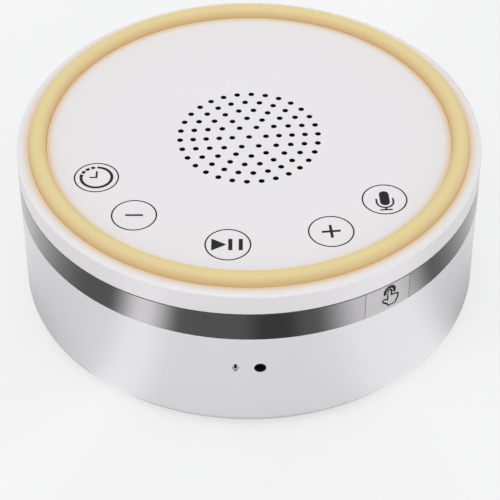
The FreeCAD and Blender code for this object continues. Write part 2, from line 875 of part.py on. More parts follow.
def main_board_screws():
    """Screws that hold the main board to the base plate."""
    solids = []
    for c in board_holes():
        seat = FreeCAD.Vector(c.x, c.y, board_top)
        solids.append(screw(small_screw_radius, small_screw_length, small_screw_head_radius,
                            small_screw_head_height, seat, up=False))
    return group(solids)


def chips():
    """Flat integrated circuits on the main board."""
    solids = []
    for (x, y), (width, depth) in zip(chip_places, chip_sizes):
        chip = block(x - width / 2, x + width / 2, board_y + y - depth / 2, board_y + y + depth / 2,
                     board_top, board_top + chip_height)
        upper = [e for e in chip.Edges if e.BoundBox.ZMin > board_top + chip_height / 2]
        solids.append(chip.makeChamfer(chip_bevel, upper))
    return group(solids)


def capacitors():
    """Upright electrolytic capacitors beside the magnet."""
    return group([rod(capacitor_radius, board_top, board_top + capacitor_height,
                      FreeCAD.Vector(x, board_y + y, 0)) for x, y in capacitor_places])


def wire_plugs():
    """Plug-in connectors along the front edge of the main board."""
    wide = plug_width / 2
    deep = plug_depth / 2
    solids = []
    for x in (-plug_pitch, 0.0, plug_pitch):
        shell = block(x - wide, x + wide, plug_y - deep, plug_y + deep, board_top, board_top + plug_height)
        side = wide - plug_wall
        end = deep - plug_wall
        hollow = block(x - side, x + side, plug_y - end, plug_y + end,
                       board_top + plug_wall, board_top + plug_height)
        solids.append(shell.cut(hollow))
    return group(solids)


def socket_front():
    """Y of the power socket's mouth, at the floor of its recess."""
    return body_radius - socket_recess


def socket_shelf_heights():
    """Bottom and top of the small board that carries the power socket."""
    high = socket_z - socket_height / 2
    return high - socket_board_thickness, high


def power_socket():
    """Metal-cased charging socket with its contact tongue."""
    front = socket_front()
    back = front - socket_depth
    shell = rounded_bar(socket_width, socket_height, back, front, socket_z)
    bore = rounded_bar(socket_width - 2 * socket_wall, socket_height - 2 * socket_wall,
                       back + 1.0, front + 1, socket_z)
    tongue = block(-tongue_width / 2, tongue_width / 2, back + 0.5, back + 1.0 + tongue_length,
                   socket_z - tongue_thickness / 2, socket_z + tongue_thickness / 2)
    return joined(shell.cut(bore), [tongue])


def socket_board_front():
    """Y of the inner edge of the socket's board."""
    return housing_bore - socket_board_depth


def socket_board():
    """Small board under the power socket."""
    half = socket_board_width / 2
    low, high = socket_shelf_heights()
    board = block(-half, half, socket_board_front(), body_radius, low, high)
    return board.common(rod(housing_bore - fit_gap * 2, low - 1, high + 1))


def key_ribbon():
    """Flat cable from the middle connector up to the underside of the key board."""
    width = plug_width - 2 * plug_wall - 2 * ribbon_slack
    foot = -plug_y
    head = key_board_inner + ribbon_thickness + ribbon_edge_gap
    line = [(foot, board_top + plug_wall), (foot, key_board_bottom - 2 * ribbon_bend),
            (head, key_board_bottom - ribbon_bend), (head, key_board_bottom)]
    t = ribbon_thickness
    outline = [FreeCAD.Vector(x, -width / 2, z) for x, z in line]
    outline += [FreeCAD.Vector(x + t, -width / 2, z) for x, z in reversed(line)]
    face = Part.Face(Part.makePolygon(outline + outline[:1]))
    return facing(face.extrude(FreeCAD.Vector(0, width, 0)), -90.0)


def wire(points):
    """Round wire along straight runs that are joined by tangent arcs."""
    corners = [FreeCAD.Vector(*p) for p in points]
    edges = []
    here = corners[0]
    for before, corner, after in zip(corners, corners[1:], corners[2:]):
        into = (corner - before).normalize()
        away = (after - corner).normalize()
        half = into.getAngle(away) / 2
        shorter = min((corner - before).Length, (after - corner).Length)
        bend = min(wire_bend, 0.45 * shorter / math.tan(half))
        reach = bend * math.tan(half)
        start = corner - into * reach
        end = corner + away * reach
        middle = corner + (away - into).normalize() * (bend / math.cos(half) - bend)
        edges.append(Part.LineSegment(here, start).toShape())
        edges.append(Part.Arc(start, middle, end).toShape())
        here = end
    edges.append(Part.LineSegment(here, corners[-1]).toShape())
    first = (corners[1] - corners[0]).normalize()
    profile = Part.Wire(Part.makeCircle(wire_radius, corners[0], first))
    return Part.Wire(edges).makePipeShell([profile], True, False)


def wire_pair(points, across):
    """Two wires side by side, apart along the given direction."""
    shift = FreeCAD.Vector(*across) * (wire_pitch / 2)
    first = wire(points)
    second = first.copy()
    first.translate(shift)
    second.translate(shift * -1)
    return group([first, second])


def battery_leads():
    """One lead from each end of the cell to the back edge of the main board."""
    z = cell_height
    end = cell_length / 2
    side = end + battery_lead_run
    foot_x = board_length / 2 - 2 * board_hole_inset - wire_pitch
    foot_y = board_y + board_width / 2 - battery_lead_edge_gap
    leads = []
    for s in (-1, 1):
        path = [(end, cell_y, z), (side, cell_y, z), (side, foot_y + battery_lead_slope, z),
                (foot_x, foot_y, z), (foot_x, foot_y, board_top)]
        leads.append(wire([(s * x, y, height) for x, y, height in path]))
    return group(leads)


def speaker_leads():
    """Leads from the foot of the speaker's frame to the main board."""
    z = basket_bottom + speaker_sheet
    y = -(basket_foot_radius + speaker_lead_gap)
    away = y - speaker_lead_run
    return wire_pair([(0, y, z), (0, away, z), (0, away, board_top)], (1, 0, 0))


def lamp_leads():
    """Leads from the lamp board down to the right-hand edge of the main board."""
    head = at(lamp_circle - 2 * wire_radius, lamp_lead_deg, lamp_board_top - lamp_board_thickness)
    foot_x = board_length / 2 - lamp_lead_edge_gap
    run_z = board_top + wire_rise
    return wire_pair([tuple(head), (head.x, head.y, run_z), (foot_x, head.y, run_z),
                      (foot_x, head.y, board_top)], (0, 1, 0))


def microphone_leads():
    """Leads from the back of the microphone to the front of the main board."""
    back = at(microphone_seat() - boot_lip - microphone_depth - fit_gap, microphone_deg, microphone_z)
    x = -plug_pitch / 2
    y = plug_y - 2 * wire_radius
    run_z = board_top + wire_rise
    return wire_pair([tuple(back), (back.x, back.y + microphone_lead_run, back.z),
                      (x, y, run_z + microphone_lead_drop), (x, y, board_top)], (1, 0, 0))


def parts():
    """Every node's name and shape."""
    shapes = {
        "top_cover": top_cover(),
        "light_ring": light_ring(),
        "lamp_board": lamp_board(),
        "lamps": lamps(),
        "key_board": key_board(),
        "key_board_screws": key_board_screws(),
        "grille_cloth": grille_cloth(),
        "speaker_gasket": speaker_gasket(),
        "speaker_frame": speaker_frame(),
        "speaker_screws": speaker_screws(),
        "speaker_surround": speaker_surround(),
        "speaker_cone": speaker_cone(),
        "dust_cap": dust_cap(),
        "voice_coil": voice_coil(),
        "speaker_spider": speaker_spider(),
        "speaker_top_plate": speaker_top_plate(),
        "speaker_magnet": speaker_magnet(),
        "speaker_yoke": speaker_yoke(),
        "trim_band": trim_band(),
        "touch_plate": touch_plate(),
        "touch_contact": touch_contact(),
        "lower_housing": lower_housing(),
        "microphone_boot": microphone_boot(),
        "microphone_capsule": microphone_capsule(),
        "base_plate": base_plate(),
        "rubber_feet": rubber_feet(),
        "case_screws": case_screws(),
        "battery_cell": battery_cell(),
        "battery_straps": battery_straps(),
        "main_board": main_board(),
        "main_board_screws": main_board_screws(),
        "chips": chips(),
        "capacitors": capacitors(),
        "wire_plugs": wire_plugs(),
        "power_socket": power_socket(),
        "socket_board": socket_board(),
        "key_ribbon": key_ribbon(),
        "battery_leads": battery_leads(),
        "speaker_leads": speaker_leads(),
        "lamp_leads": lamp_leads(),
        "microphone_leads": microphone_leads(),
    }
    for name in key_angles:
        shapes[name + "_key"] = key(name)
        shapes[name + "_dome"] = dome(name)
    return shapes


os.makedirs("parts", exist_ok=True)
for node, shape in parts().items():
    shape.exportStep(os.path.join("parts", node + ".step"))
    print(node, len(shape.Solids), "valid" if shape.isValid() else "NOT VALID", round(shape.Volume, 2))
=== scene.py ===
import json
import math

import bmesh
import bpy
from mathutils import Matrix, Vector

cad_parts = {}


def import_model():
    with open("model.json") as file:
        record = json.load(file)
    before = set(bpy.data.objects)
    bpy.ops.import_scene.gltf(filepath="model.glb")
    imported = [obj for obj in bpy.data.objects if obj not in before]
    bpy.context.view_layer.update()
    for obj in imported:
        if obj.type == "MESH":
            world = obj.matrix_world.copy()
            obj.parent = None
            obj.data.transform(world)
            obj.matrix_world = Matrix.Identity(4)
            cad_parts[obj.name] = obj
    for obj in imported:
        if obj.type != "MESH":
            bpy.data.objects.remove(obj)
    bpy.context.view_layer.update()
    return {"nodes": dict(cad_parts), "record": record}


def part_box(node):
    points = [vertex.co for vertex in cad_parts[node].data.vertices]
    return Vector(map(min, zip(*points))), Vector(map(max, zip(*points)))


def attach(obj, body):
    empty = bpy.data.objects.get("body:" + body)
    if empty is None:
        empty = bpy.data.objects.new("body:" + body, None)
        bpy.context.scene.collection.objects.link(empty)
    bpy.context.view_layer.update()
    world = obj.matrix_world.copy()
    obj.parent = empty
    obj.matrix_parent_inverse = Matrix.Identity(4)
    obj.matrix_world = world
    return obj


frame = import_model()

# A round sound machine: white glossy case, warm light ring, five keys, dark bright-plated band.
# The scene is in metres, in the part's own frame. Named sizes and outlines are in millimetres and
# directions in degrees, unless a comment says otherwise.

MM = 0.001
PER_METRE = 1000.0

_, cover_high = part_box("top_cover")
band_low, band_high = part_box("trim_band")
BODY_RADIUS = cover_high.x / MM
TOP = cover_high.z / MM
BAND_BOTTOM = band_low.z / MM
BAND_TOP = band_high.z / MM
KEYS = ("timer", "minus", "play", "plus", "microphone")
KEY_RADIUS = 5.5
GRILLE_RADIUS = 18.8
SEAM_HEIGHT = 0.3
RING_MIDDLE = 54.6
RING_HALF = 2.25

# The ring's light: how fast it falls off across the crown and beside the ring, how far the painted warm glow
# on the cover beside the ring reaches, and how far below the top that painted glow starts and is full. The
# ring is brightest on its crown as a painted highlight, and its warm glow on the cover is painted light.
CROWN_POWER = 2.4
PAINTED_GLOW_POWER = 1.3
PAINTED_GLOW_REACH = 2.0
PAINTED_GLOW_DEPTHS = (3.2, 0.4)

# Steps of a full circle
CIRCLE_STEPS = 96


# Node trees

def add_node(tree, kind, settings=None, **values):
    """Adds a node, sets its properties from a dict and its inputs by name, or by number as in_0."""
    node = tree.nodes.new(kind)
    for key, value in (settings or {}).items():
        setattr(node, key, value)
    for key, value in values.items():
        set_input(tree, node, key.replace("_", " "), value)
    return node


def set_input(tree, node, key, value):
    """Links an output to the input, or writes a plain value to it."""
    names = [s.name for s in node.inputs]
    socket = node.inputs[int(key[3:])] if key.startswith("in ") else node.inputs[names.index(key)]
    if isinstance(value, bpy.types.NodeSocket):
        tree.links.new(value, socket)
    else:
        socket.default_value = value


def maths(tree, operation, first, second=0.0, clamp=False):
    """Result of a Math node."""
    node = add_node(tree, "ShaderNodeMath", {"operation": operation, "use_clamp": clamp},
                    in_0=first, in_1=second)
    return node.outputs[0]


def summed(tree, *shares):
    """Sum of two values, each times its share."""
    (first, first_share), (second, second_share) = shares
    return maths(tree, "ADD", maths(tree, "MULTIPLY", first, first_share),
                 maths(tree, "MULTIPLY", second, second_share))


def blended(tree, factor, first, second):
    """Mixes two colours: the first at factor 0, the second at factor 1."""
    node = tree.nodes.new("ShaderNodeMix")
    node.data_type = "RGBA"
    for index, value in ((0, factor), (6, first), (7, second)):
        if isinstance(value, bpy.types.NodeSocket):
            tree.links.new(value, node.inputs[index])
        elif index == 0:
            node.inputs[0].default_value = value
        else:
            node.inputs[index].default_value = (*value, 1.0)
    return node.outputs[2]


def stepped(tree, value, start, end):
    """0 below start and 1 above end, smooth between them. Start may lie above end."""
    node = tree.nodes.new("ShaderNodeMapRange")
    node.interpolation_type = "SMOOTHSTEP"
    low, high = (start, end) if start < end else (end, start)
    set_input(tree, node, "Value", value)
    set_input(tree, node, "From Min", low)
    set_input(tree, node, "From Max", high)
    set_input(tree, node, "To Min", 0.0 if start < end else 1.0)
    set_input(tree, node, "To Max", 1.0 if start < end else 0.0)
    return node.outputs[0]


def noise(tree, vector, per_metre, detail=2.0, roughness=0.5):
    """Noise value about 0.5. Its scale is the number of grains in a metre."""
    node = add_node(tree, "ShaderNodeTexNoise", None, Vector=vector, Scale=per_metre, Detail=detail,
                    Roughness=roughness)
    return node.outputs[0]


def new_group(name, inputs, outputs):
    """Empty shader group with plain number inputs and outputs."""
    tree = bpy.data.node_groups.new(name, "ShaderNodeTree")
    for label, default in inputs:
        socket = tree.interface.new_socket(label, in_out="INPUT", socket_type="NodeSocketFloat")
        socket.default_value = default
    for label in outputs:
        tree.interface.new_socket(label, in_out="OUTPUT", socket_type="NodeSocketFloat")
    entry = tree.nodes.new("NodeGroupInput")
    leave = tree.nodes.new("NodeGroupOutput")
    return tree, entry, leave


def put_out(tree, leave, **values):
    """Links values to a group's outputs by name."""
    for key, value in values.items():
        tree.links.new(value, leave.inputs[key.replace("_", " ")])


def place(tree):
    """Object coordinates: metres in the part's frame."""
    return tree.nodes.new("ShaderNodeTexCoord").outputs["Object"]


def radius_and_height(tree):
    """Distance from the case's axis and height, in millimetres."""
    here = place(tree)
    level = (PER_METRE, PER_METRE, 0.0)
    flat = add_node(tree, "ShaderNodeVectorMath", {"operation": "MULTIPLY"}, in_0=here, in_1=level)
    length = add_node(tree, "ShaderNodeVectorMath", {"operation": "LENGTH"}, in_0=flat.outputs[0])
    parts = add_node(tree, "ShaderNodeSeparateXYZ", None, Vector=here)
    return length.outputs["Value"], maths(tree, "MULTIPLY", parts.outputs[2], PER_METRE)


def moulded_surface():
    """Fine texture, slow waves and faint handling marks of a moulded or cast skin."""
    tree, entry, leave = new_group("moulded surface", [("Grain size mm", 0.2), ("Mark size mm", 9.0)],
                                   ["Height", "Marks", "Tone"])
    here = place(tree)
    grain = maths(tree, "DIVIDE", PER_METRE, entry.outputs["Grain size mm"])
    marks = maths(tree, "DIVIDE", PER_METRE, entry.outputs["Mark size mm"])
    fine = noise(tree, here, grain, detail=3.0, roughness=0.6)
    waves = noise(tree, here, marks, detail=1.0)
    smears = noise(tree, here, maths(tree, "MULTIPLY", marks, 2.7), detail=4.0, roughness=0.65)
    put_out(tree, leave, Height=summed(tree, (fine, 0.25), (waves, 2.0)),
            Marks=stepped(tree, smears, 0.42, 0.7), Tone=summed(tree, (fine, 0.3), (waves, 0.7)))
    return tree


def ring_glow():
    """How strongly the lit ring shines on itself, with a painted highlight along its crown, and the painted
    warm glow on the cover beside it.
    """
    sizes = [("Ring middle mm", RING_MIDDLE), ("Half width mm", RING_HALF), ("Reach mm", PAINTED_GLOW_REACH)]
    tree, entry, leave = new_group("ring glow", sizes, ["On the ring", "Beside it"])
    radius, height = radius_and_height(tree)
    half = entry.outputs["Half width mm"]
    away = maths(tree, "ABSOLUTE", maths(tree, "SUBTRACT", radius, entry.outputs["Ring middle mm"]))
    across = maths(tree, "DIVIDE", away, half)
    # The ring's own glow, brightest on the crown as a painted highlight and dimmer to the edges as painted
    # shade
    crown = maths(tree, "SUBTRACT", 1.0, maths(tree, "POWER", across, CROWN_POWER), clamp=True)
    # Painted light: the ring's warm glow painted on the cover beside it, fading away from the ring and with
    # depth below the top
    beyond = maths(tree, "DIVIDE", maths(tree, "SUBTRACT", away, half), entry.outputs["Reach mm"])
    painted_glow = maths(tree, "POWER", maths(tree, "SUBTRACT", 1.0, beyond, clamp=True), PAINTED_GLOW_POWER)
    near_top = stepped(tree, height, TOP - PAINTED_GLOW_DEPTHS[0], TOP - PAINTED_GLOW_DEPTHS[1])
    put_out(tree, leave, On_the_ring=crown, Beside_it=maths(tree, "MULTIPLY", painted_glow, near_top))
    return tree


def brushed_lines():
    """Fine lines that run round the case's axis, as a turned and brushed strip has."""
    tree, entry, leave = new_group("brushed lines", [("Line size mm", 0.12), ("Streak length", 40.0)],
                                   ["Height", "Tone"])
    radius, height = radius_and_height(tree)
    parts = add_node(tree, "ShaderNodeSeparateXYZ", None, Vector=place(tree))
    turn = maths(tree, "ARCTAN2", parts.outputs[1], parts.outputs[0])
    along = maths(tree, "MULTIPLY", turn, maths(tree, "DIVIDE", radius, entry.outputs["Streak length"]))
    lines = add_node(tree, "ShaderNodeCombineXYZ", None, X=along, Y=height, Z=radius)
    size = maths(tree, "DIVIDE", 1.0, entry.outputs["Line size mm"])
    fine = noise(tree, lines.outputs[0], size, detail=3.0, roughness=0.6)
    broad = noise(tree, lines.outputs[0], maths(tree, "MULTIPLY", size, 0.13))
    put_out(tree, leave, Height=fine, Tone=summed(tree, (fine, 0.5), (broad, 0.5)))
    return tree


def woven_threads():
    """Over-and-under threads of a cloth that lies flat, with fuzz."""
    tree, entry, leave = new_group("woven threads", [("Thread size mm", 0.3)], ["Height", "Tone"])
    fibres_per_metre = 3000.0
    here = place(tree)
    parts = add_node(tree, "ShaderNodeSeparateXYZ", None, Vector=here)
    turns = maths(tree, "DIVIDE", PER_METRE * math.pi, entry.outputs["Thread size mm"])
    over = maths(tree, "SINE", maths(tree, "MULTIPLY", parts.outputs[0], turns))
    under = maths(tree, "SINE", maths(tree, "MULTIPLY", parts.outputs[1], turns))
    height = maths(tree, "ADD", maths(tree, "MULTIPLY", maths(tree, "MULTIPLY", over, under), 0.5), 0.5)
    fuzz = noise(tree, here, fibres_per_metre, detail=3.0)
    put_out(tree, leave, Height=height, Tone=maths(tree, "MULTIPLY", maths(tree, "ADD", height, 0.6), fuzz))
    return tree


def copper_tracks():
    """Tracks under the lacquer of a circuit board, with pads where they meet."""
    tree, entry, leave = new_group("copper tracks", [("Pitch mm", 2.4)], ["Track", "Pad"])
    here = place(tree)
    per_metre = maths(tree, "DIVIDE", PER_METRE, entry.outputs["Pitch mm"])
    cells = add_node(tree, "ShaderNodeTexVoronoi", {"feature": "DISTANCE_TO_EDGE"}, Vector=here,
                     Scale=per_metre, Randomness=0.75)
    spots = add_node(tree, "ShaderNodeTexVoronoi", {"feature": "F1", "distance": "CHEBYCHEV"}, Vector=here,
                     Scale=per_metre, Randomness=0.6)
    put_out(tree, leave, Track=stepped(tree, cells.outputs[0], 0.075, 0.05),
            Pad=stepped(tree, spots.outputs[0], 0.17, 0.14))
    return tree


GROUPS = {"skin": moulded_surface(), "glow": ring_glow(), "brushed": brushed_lines(),
          "weave": woven_threads(), "tracks": copper_tracks()}


# Finishes

WHITE = (0.85, 0.825, 0.835)
HOUSING_WHITE = (0.825, 0.82, 0.85)
# Painted light: the lit ring's warm glow painted on the cover beside it, as a base colour and a faint glow
PAINTED_GLOW_WHITE = (0.74, 0.56, 0.32)
PAINTED_GLOW_EMISSION = (0.08, 0.045, 0.01)
UNLIT = (0.0, 0.0, 0.0)
# Painted shade: black painted into the bores of the holes, the key openings and the seams
PAINTED_SHADE_BLACK = (0.012, 0.012, 0.013)
RING_AMBER = (0.60, 0.455, 0.225)
# The ring's own lamp glow: dimmer at its edges as painted shade, brighter on its crown as a painted highlight
RING_GLOW_PAINTED_EDGE_SHADE = (0.10, 0.045, 0.015)
RING_GLOW_PAINTED_CROWN_HIGHLIGHT = (0.20, 0.20, 0.09)
BOARD_GREEN = (0.02, 0.16, 0.07)
TRACK_GREEN = (0.035, 0.26, 0.10)
PAD_TIN = (0.75, 0.72, 0.65)
# Dark grey of the print, also used as painted shade in the gaps round the keys
PRINT_AND_GAP_SHADE_GREY = (0.014, 0.013, 0.016)
FAINT_SHADE = 0.985

# The microphone hole's direction, anticlockwise from +x as seen from above, and its height
MICROPHONE_DIRECTION = -87.4
MICROPHONE_HEIGHT = 20.8

# Edges of the painted-shade masks, which paint the bores and seams black, from where each starts to where it
# is full: radii from the case's axis or from the hole's own middle, and heights
GRILLE_EDGE = (GRILLE_RADIUS + 0.4, GRILLE_RADIUS + 0.3)
OPENING_EDGE = (KEY_RADIUS + 0.65, KEY_RADIUS + 0.55)
BORE_TOP = (TOP - 0.03, TOP - 0.1)
TONGUE_FACE = (BODY_RADIUS - 1.3, BODY_RADIUS - 1.5)
TONGUE_TOP = (BAND_TOP + SEAM_HEIGHT + 0.05, BAND_TOP + SEAM_HEIGHT - 0.05)
MICROPHONE_EDGE = (4.5, 4.4)
MICROPHONE_MOUTH = (BODY_RADIUS - 0.08, BODY_RADIUS - 0.16)
SEAT_FACE = (BODY_RADIUS - 0.9, BODY_RADIUS - 1.0)
SEAT_BOTTOM = (BAND_BOTTOM + 0.05, BAND_BOTTOM + 0.1)


class Finish:
    """A material with one Principled shader and short ways to add nodes to it."""

    def __init__(self, name, colour, roughness, **plain):
        self.material = bpy.data.materials.new(name)
        self.material.use_nodes = True
        self.tree = self.material.node_tree
        self.shader = self.tree.nodes["Principled BSDF"]
        self.colour = colour
        self.roughness = roughness
        self.shader.inputs["Base Color"].default_value = (*colour, 1.0)
        for key, value in plain.items():
            self.shader.inputs[key.replace("_", " ")].default_value = value

    def group(self, name, **values):
        """Outputs of a shared group, placed in this material with its own values."""
        node = self.tree.nodes.new("ShaderNodeGroup")
        node.node_tree = GROUPS[name]
        for key, value in values.items():
            node.inputs[key.replace("_", " ")].default_value = value
        return node.outputs

    def feed(self, socket, value):
        """Links a value to one of the shader's sockets."""
        self.tree.links.new(value, self.shader.inputs[socket])

    def vary_roughness(self, mask, spread):
        """Adds the spread to the roughness where the mask is full."""
        amount = maths(self.tree, "ADD", maths(self.tree, "MULTIPLY", mask, spread), self.roughness)
        self.feed("Roughness", amount)

    def varied_colour(self, mask, darker):
        """The finish's colour, times darker where the mask is full."""
        return blended(self.tree, mask, self.colour, tuple(c * darker for c in self.colour))

    def raise_surface(self, height, depth):
        """Bump of a height pattern, with its depth in millimetres."""
        bump = add_node(self.tree, "ShaderNodeBump", None, Strength=1.0, Distance=depth * MM, Height=height)
        self.feed("Normal", bump.outputs[0])

    def apply(self, pattern, rough_by, spread, darker, depth):
        """Varies roughness, colour and surface by the outputs of a group."""
        self.vary_roughness(pattern[rough_by], spread)
        self.feed("Base Color", self.varied_colour(pattern["Tone"], darker))
        self.raise_surface(pattern["Height"], depth)


def moulded(name, colour, roughness, grain=0.2, depth=0.004, marks=9.0, spread=0.12, darker=0.94, **plain):
    """Moulded plastic, rubber or a lacquered shell."""
    finish = Finish(name, colour, roughness, **plain)
    finish.skin = finish.group("skin", Grain_size_mm=grain, Mark_size_mm=marks)
    finish.apply(finish.skin, "Marks", spread, darker, depth)
    return finish


def plated(name, colour, roughness, line=0.12, depth=0.001, spread=0.1, darker=0.9):
    """Metal with fine lines from rolling or turning."""
    finish = Finish(name, colour, roughness, Metallic=1.0)
    finish.apply(finish.group("brushed", Line_size_mm=line), "Tone", spread, darker, depth)
    return finish


def woven(name, colour, roughness, thread=0.3, depth=0.06, spread=0.1, darker=0.55):
    """Cloth with a thread pattern."""
    finish = Finish(name, colour, roughness)
    finish.apply(finish.group("weave", Thread_size_mm=thread), "Tone", spread, darker, depth)
    return finish


def white_case(name, colour, roughness, lacquer, painted_shade_mask):
    """Glossy white shell, with painted shade (black) in its small holes and seams and a painted warm glow
    where the lit ring meets it.
    """
    finish = moulded(name, colour, roughness, grain=1.4, depth=0.0008, marks=30.0, spread=0.02,
                     darker=FAINT_SHADE, IOR=1.5, Coat_Weight=lacquer, Coat_IOR=1.6, Coat_Roughness=0.12)
    tree = finish.tree
    plain = finish.varied_colour(finish.skin["Tone"], FAINT_SHADE)
    # Painted light: the lit ring's warm glow painted on the shell beside it, in its colour and as a faint
    # glow
    painted_glow = finish.group("glow")["Beside it"]
    warm = blended(tree, painted_glow, plain, PAINTED_GLOW_WHITE)
    # Painted shade: black painted into the small holes and seams
    finish.feed("Base Color", blended(tree, painted_shade_mask(tree), warm, PAINTED_SHADE_BLACK))
    finish.feed("Emission Color", blended(tree, painted_glow, UNLIT, PAINTED_GLOW_EMISSION))
    finish.shader.inputs["Emission Strength"].default_value = 1.0
    return finish.material


def distance_to(tree, point):
    """Distance to a point, in metres."""
    away = add_node(tree, "ShaderNodeVectorMath", {"operation": "DISTANCE"}, in_0=place(tree), in_1=point)
    return away.outputs["Value"]


def in_metres(edges):
    """Edges that were given in millimetres."""
    return [edge * MM for edge in edges]


def painted_shade_in_cover_holes(tree):
    """Mask of painted shade: the bores of the sound holes, the key openings and the tongue behind the band,
    painted black.
    """
    radius, height = radius_and_height(tree)
    inner = stepped(tree, radius, *GRILLE_EDGE)
    for name in KEYS:
        low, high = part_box(name + "_key")
        middle = (low + high) / 2
        near = stepped(tree, distance_to(tree, (middle.x, middle.y, TOP * MM)), *in_metres(OPENING_EDGE))
        inner = maths(tree, "MAXIMUM", inner, near)
    bores = maths(tree, "MULTIPLY", inner, stepped(tree, height, *BORE_TOP))
    tongue = maths(tree, "MULTIPLY", stepped(tree, radius, *TONGUE_FACE), stepped(tree, height, *TONGUE_TOP))
    return maths(tree, "MAXIMUM", bores, tongue)


def painted_shade_in_wall_openings(tree):
    """Mask of painted shade: the microphone's bore and the seat behind the band, painted black."""
    turn = math.radians(MICROPHONE_DIRECTION)
    centre = (BODY_RADIUS * math.cos(turn) * MM, BODY_RADIUS * math.sin(turn) * MM, MICROPHONE_HEIGHT * MM)
    radius, height = radius_and_height(tree)
    near = stepped(tree, distance_to(tree, centre), *in_metres(MICROPHONE_EDGE))
    bore = maths(tree, "MULTIPLY", near, stepped(tree, radius, *MICROPHONE_MOUTH))
    seat = maths(tree, "MULTIPLY", stepped(tree, radius, *SEAT_FACE), stepped(tree, height, *SEAT_BOTTOM))
    return maths(tree, "MAXIMUM", bore, seat)


def frosted_ring():
    """Warm-lit frosted ring whose own glow is brightest along its crown, as a painted highlight, with painted
    shade towards its edges.
    """
    finish = moulded("frosted warm ring", RING_AMBER, 0.45, grain=0.5, depth=0.002, marks=14.0,
                     spread=0.06, darker=0.93, IOR=1.45)
    crown = finish.group("glow")["On the ring"]
    # The lamp's glow, with a painted highlight on the crown and painted shade at the edges
    finish.feed("Emission Color", blended(finish.tree, crown, RING_GLOW_PAINTED_EDGE_SHADE, RING_GLOW_PAINTED_CROWN_HIGHLIGHT))
    finish.shader.inputs["Emission Strength"].default_value = 1.0
    return finish.material


def circuit_board():
    """Green lacquer over copper tracks, with tinned pads."""
    finish = Finish("green lacquered board", BOARD_GREEN, 0.35, Coat_Weight=0.4)
    tree = finish.tree
    tracks = finish.group("tracks")
    lacquer = blended(tree, tracks["Track"], BOARD_GREEN, TRACK_GREEN)
    finish.feed("Base Color", blended(tree, tracks["Pad"], lacquer, PAD_TIN))
    finish.feed("Metallic", maths(tree, "MULTIPLY", tracks["Pad"], 0.9))
    finish.vary_roughness(tracks["Pad"], -0.1)
    finish.raise_surface(tracks["Track"], 0.03)
    return finish.material


FINISHES = {
    # The cover's shell carries painted shade in its holes and openings and a painted warm glow beside the
    # ring
    "white_gloss": white_case("white cover gloss", WHITE, 0.24, 0.0, painted_shade_in_cover_holes),
    "white_matte": moulded("white base texture", (0.74, 0.74, 0.75), 0.55, grain=0.5, depth=0.03).material,
    "key_gloss": moulded("white key gloss", WHITE, 0.22, grain=0.3, depth=0.002, marks=5.0, darker=0.975,
                         Coat_Weight=0.3, Coat_Roughness=0.07).material,
    "ring_diffuser": frosted_ring(),
    "circuit_board": circuit_board(),
    "lamp_resin": moulded("lamp resin", (0.85, 0.62, 0.18), 0.3, grain=0.1,
                          Emission_Color=(1.0, 0.75, 0.4, 1.0), Emission_Strength=0.6).material,
    "screw_steel": plated("screw zinc", (0.62, 0.62, 0.64), 0.3).material,
    "acoustic_cloth": woven("acoustic cloth", (0.012, 0.012, 0.014), 0.9, thread=0.25).material,
    "foam_seal": moulded("seal foam", (0.03, 0.03, 0.032), 0.9, grain=0.35, depth=0.12).material,
    "pressed_steel": plated("pressed steel", (0.45, 0.45, 0.47), 0.35).material,
    "soft_rubber": moulded("soft black rubber", (0.02, 0.02, 0.021), 0.65, grain=0.25, depth=0.02).material,
    "cone_paper": moulded("cone paper", (0.03, 0.03, 0.033), 0.85, grain=0.5, depth=0.08).material,
    "copper_winding": plated("copper winding", (0.72, 0.35, 0.18), 0.3, line=0.2, depth=0.05).material,
    "spider_cloth": woven("spider cloth", (0.55, 0.36, 0.12), 0.85, thread=0.35).material,
    "ferrite": moulded("ferrite", (0.045, 0.045, 0.048), 0.6, grain=0.4, depth=0.02).material,
    "dark_chrome": plated("smoked bright plating", (0.50, 0.49, 0.50), 0.14, line=0.1, depth=0.0004,
                          spread=0.05, darker=0.93).material,
    "satin_metal": plated("satin touch plate", (0.56, 0.55, 0.56), 0.25, line=0.08, depth=0.0006).material,
    "contact_bronze": plated("contact bronze", (0.75, 0.52, 0.28), 0.28).material,
    "capsule_metal": plated("capsule tin", (0.7, 0.7, 0.7), 0.32).material,
    "foot_rubber": moulded("grey foot rubber", (0.16, 0.16, 0.165), 0.7, grain=0.3, depth=0.03).material,
    "cell_sleeve": moulded("cell sleeve", (0.05, 0.18, 0.42), 0.3, grain=0.4, depth=0.01).material,
    "strap_plastic": moulded("strap nylon", (0.75, 0.75, 0.74), 0.4, grain=0.3, depth=0.01).material,
    "chip_resin": moulded("chip resin", (0.02, 0.02, 0.022), 0.5, grain=0.12, depth=0.01).material,
    "capacitor_can": plated("capacitor can", (0.7, 0.7, 0.72), 0.25).material,
    "plug_plastic": moulded("plug nylon", (0.78, 0.76, 0.70), 0.4, grain=0.2, depth=0.006).material,
    "socket_steel": plated("socket steel", (0.66, 0.66, 0.68), 0.28).material,
    "cable_sleeve": moulded("cable sleeve", (0.35, 0.35, 0.36), 0.4, grain=0.3, depth=0.006).material,
    "dome_silicone": moulded("dome silicone", (0.62, 0.64, 0.64), 0.35, grain=0.3, depth=0.006).material,
}
# The housing's shell carries painted shade in the microphone's bore and in the seat behind the band
HOUSING = white_case("white housing gloss", HOUSING_WHITE, 0.2, 0.6, painted_shade_in_wall_openings)
# Dark grey ink, for the printed signs and for the painted shade round the keys
PRINT_AND_GAP_SHADE_INK = moulded("dark grey print and painted gap shade", PRINT_AND_GAP_SHADE_GREY, 0.55, grain=0.08, depth=0.003, darker=0.8,
              Specular_IOR_Level=0.2).material


